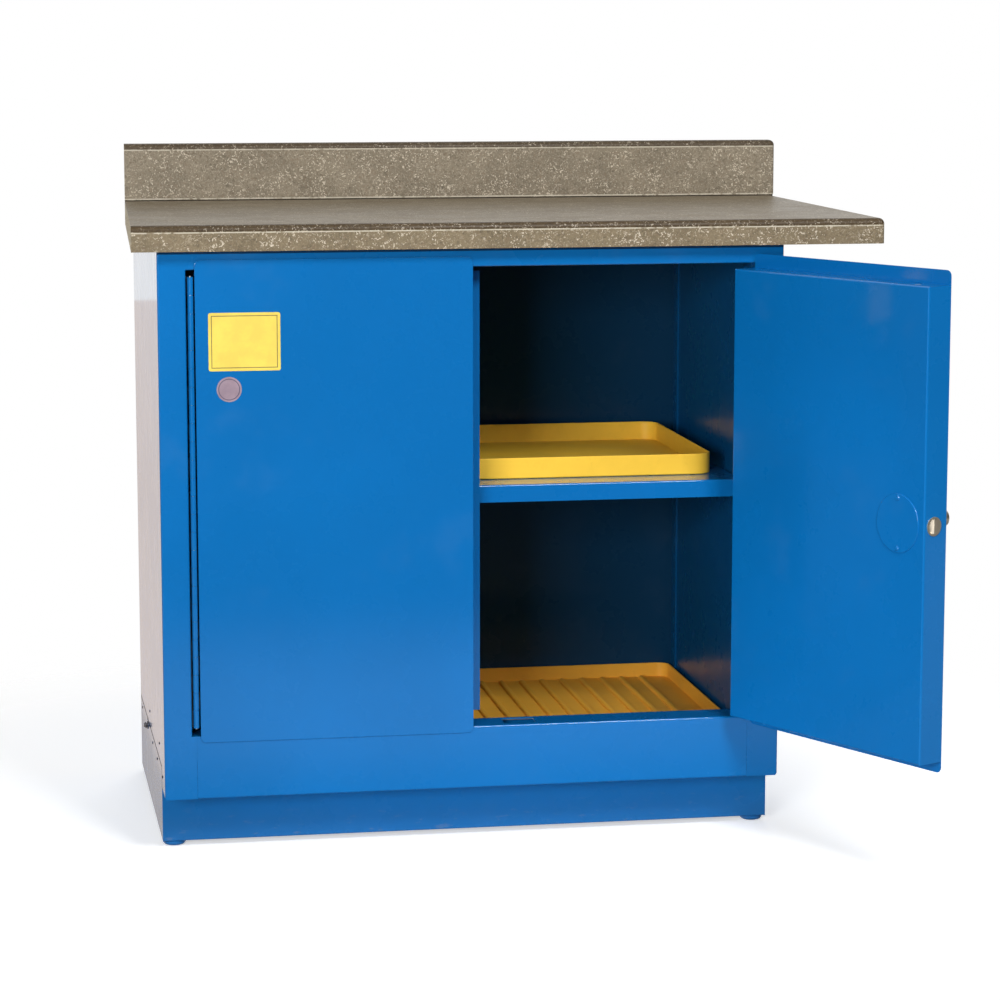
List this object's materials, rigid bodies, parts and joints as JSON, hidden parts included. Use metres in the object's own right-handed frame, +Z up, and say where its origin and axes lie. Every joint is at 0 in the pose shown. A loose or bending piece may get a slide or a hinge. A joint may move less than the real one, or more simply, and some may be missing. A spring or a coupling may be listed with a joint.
{
  "type": "acid storage cabinet",
  "caption": "Steel under-counter acid cabinet with hinged doors, lever latch, lift-out shelf and spill trays, beneath a laminate worktop with a backsplash.",
  "frame": {"origin": "on the floor, below the middle of the steel body (the worktop reaches further to the right)", "axes": "+X to the right along the front, +Y from the front to the back, +Z up from the floor"},
  "size_m": [1.0795, 0.9829, 0.9835],
  "materials": {
    "blue_enamel": "gloss",
    "zinc_steel": "satin",
    "nickel": "polished",
    "laminate": "satin",
    "particle_board": "raw",
    "yellow_polyethylene": "satin",
    "plate_film": "gloss",
    "sticker_film": "gloss",
    "vent_brass": "satin"
  },
  "bodies": {
    "cabinet": {"left_side_panel": "blue_enamel", "right_side_panel": "blue_enamel", "back_panel": "blue_enamel", "top_panel": "blue_enamel", "bottom_panel": "blue_enamel", "header_rail": "blue_enamel", "bottom_rail": "blue_enamel", "strike_plates": "zinc_steel", "left_liner": "blue_enamel", "right_liner": "blue_enamel", "back_liner": "blue_enamel", "ceiling_liner": "blue_enamel", "floor_liner": "blue_enamel", "base_front": "blue_enamel", "base_left": "blue_enamel", "base_right": "blue_enamel", "base_back": "blue_enamel", "foot_brackets": "zinc_steel", "side_rivets": "blue_enamel", "bonding_screw": "zinc_steel", "vent_collars": "blue_enamel", "vent_screens": "vent_brass", "vent_caps": "blue_enamel", "shelf_standards": "blue_enamel", "shelf_clips": "zinc_steel", "left_frame_leaf": "blue_enamel", "right_frame_leaf": "blue_enamel", "hinge_pins": "zinc_steel", "worktop_core": "particle_board", "worktop_battens": "particle_board", "worktop_laminate": "laminate", "splash_core": "particle_board", "splash_laminate": "laminate"},
    "left_door": {"left_door_skin": "blue_enamel", "left_door_pan": "blue_enamel", "left_door_leaf": "blue_enamel", "astragal": "blue_enamel", "data_plate": "plate_film", "round_sticker": "sticker_film"},
    "right_door": {"right_door_skin": "blue_enamel", "right_door_pan": "blue_enamel", "right_door_leaf": "blue_enamel", "latch_cover": "blue_enamel", "latch_cover_screws": "blue_enamel", "rod_guides": "zinc_steel", "bolt_bezel": "nickel", "handle_rose": "nickel"},
    "handle": {"door_handle": "nickel", "latch_cam": "zinc_steel"},
    "lock_plug": {"lock_plug": "nickel"},
    "top_rod": {"top_rod": "zinc_steel"},
    "bottom_rod": {"bottom_rod": "zinc_steel"},
    "side_bolt": {"side_bolt": "nickel"},
    "shelf": {"shelf": "blue_enamel"},
    "shelf_tray": {"shelf_tray": "yellow_polyethylene"},
    "sump_tray": {"sump_tray": "yellow_polyethylene"},
    "foot_front_left": {"foot_front_left": "blue_enamel"},
    "foot_front_right": {"foot_front_right": "blue_enamel"},
    "foot_back_left": {"foot_back_left": "blue_enamel"},
    "foot_back_right": {"foot_back_right": "blue_enamel"}
  },
  "joints": [
    {"name": "left_door_hinge", "type": "hinge", "parent": "cabinet", "child": "left_door", "pos_m": [-0.399, -0.2815, 0.5055], "axis": [0, 0, 1], "range_deg": [-175, 0]},
    {"name": "right_door_hinge", "type": "hinge", "parent": "cabinet", "child": "right_door", "pos_m": [0.399, -0.2815, 0.5055], "axis": [0, 0, 1], "range_deg": [-117, 58]},
    {"name": "handle_turn", "type": "hinge", "parent": "right_door", "child": "handle", "pos_m": [0.55563, -0.5889, 0.506], "axis": [0.891, 0.454, 0], "range_deg": [-90, 0]},
    {"name": "top_rod_slide", "type": "slide", "parent": "right_door", "child": "top_rod", "axis": [0, 0, 1], "range_m": [0, 0.016]},
    {"name": "bottom_rod_slide", "type": "slide", "parent": "right_door", "child": "bottom_rod", "axis": [0, 0, -1], "range_m": [0, 0.016]},
    {"name": "side_bolt_slide", "type": "slide", "parent": "right_door", "child": "side_bolt", "axis": [0.454, -0.891, 0], "range_m": [0, 0.016]},
    {"name": "lock_plug_turn", "type": "hinge", "parent": "handle", "child": "lock_plug", "pos_m": [0.55563, -0.5889, 0.506], "axis": [0.891, 0.454, 0], "range_deg": [0, 90]},
    {"name": "shelf_lift", "type": "slide", "parent": "cabinet", "child": "shelf", "axis": [0, 0, 1], "range_m": [0, 0.025]},
    {"name": "shelf_tray_lift", "type": "slide", "parent": "shelf", "child": "shelf_tray", "axis": [0, 0, 1], "range_m": [0, 0.05]},
    {"name": "sump_tray_lift", "type": "slide", "parent": "cabinet", "child": "sump_tray", "axis": [0, 0, 1], "range_m": [0, 0.05]},
    {"name": "foot_front_left_screw", "type": "slide", "parent": "cabinet", "child": "foot_front_left", "axis": [0, 0, 1], "range_m": [-0.015, 0]},
    {"name": "foot_front_right_screw", "type": "slide", "parent": "cabinet", "child": "foot_front_right", "axis": [0, 0, 1], "range_m": [-0.015, 0]},
    {"name": "foot_back_left_screw", "type": "slide", "parent": "cabinet", "child": "foot_back_left", "axis": [0, 0, 1], "range_m": [-0.015, 0]},
    {"name": "foot_back_right_screw", "type": "slide", "parent": "cabinet", "child": "foot_back_right", "axis": [0, 0, 1], "range_m": [-0.015, 0]}
  ],
  "couplings": [
    {"joint": "top_rod_slide", "follows": "handle_turn", "m_per_rad": -0.010186},
    {"joint": "bottom_rod_slide", "follows": "handle_turn", "m_per_rad": -0.010186},
    {"joint": "side_bolt_slide", "follows": "handle_turn", "m_per_rad": -0.010186}
  ]
}
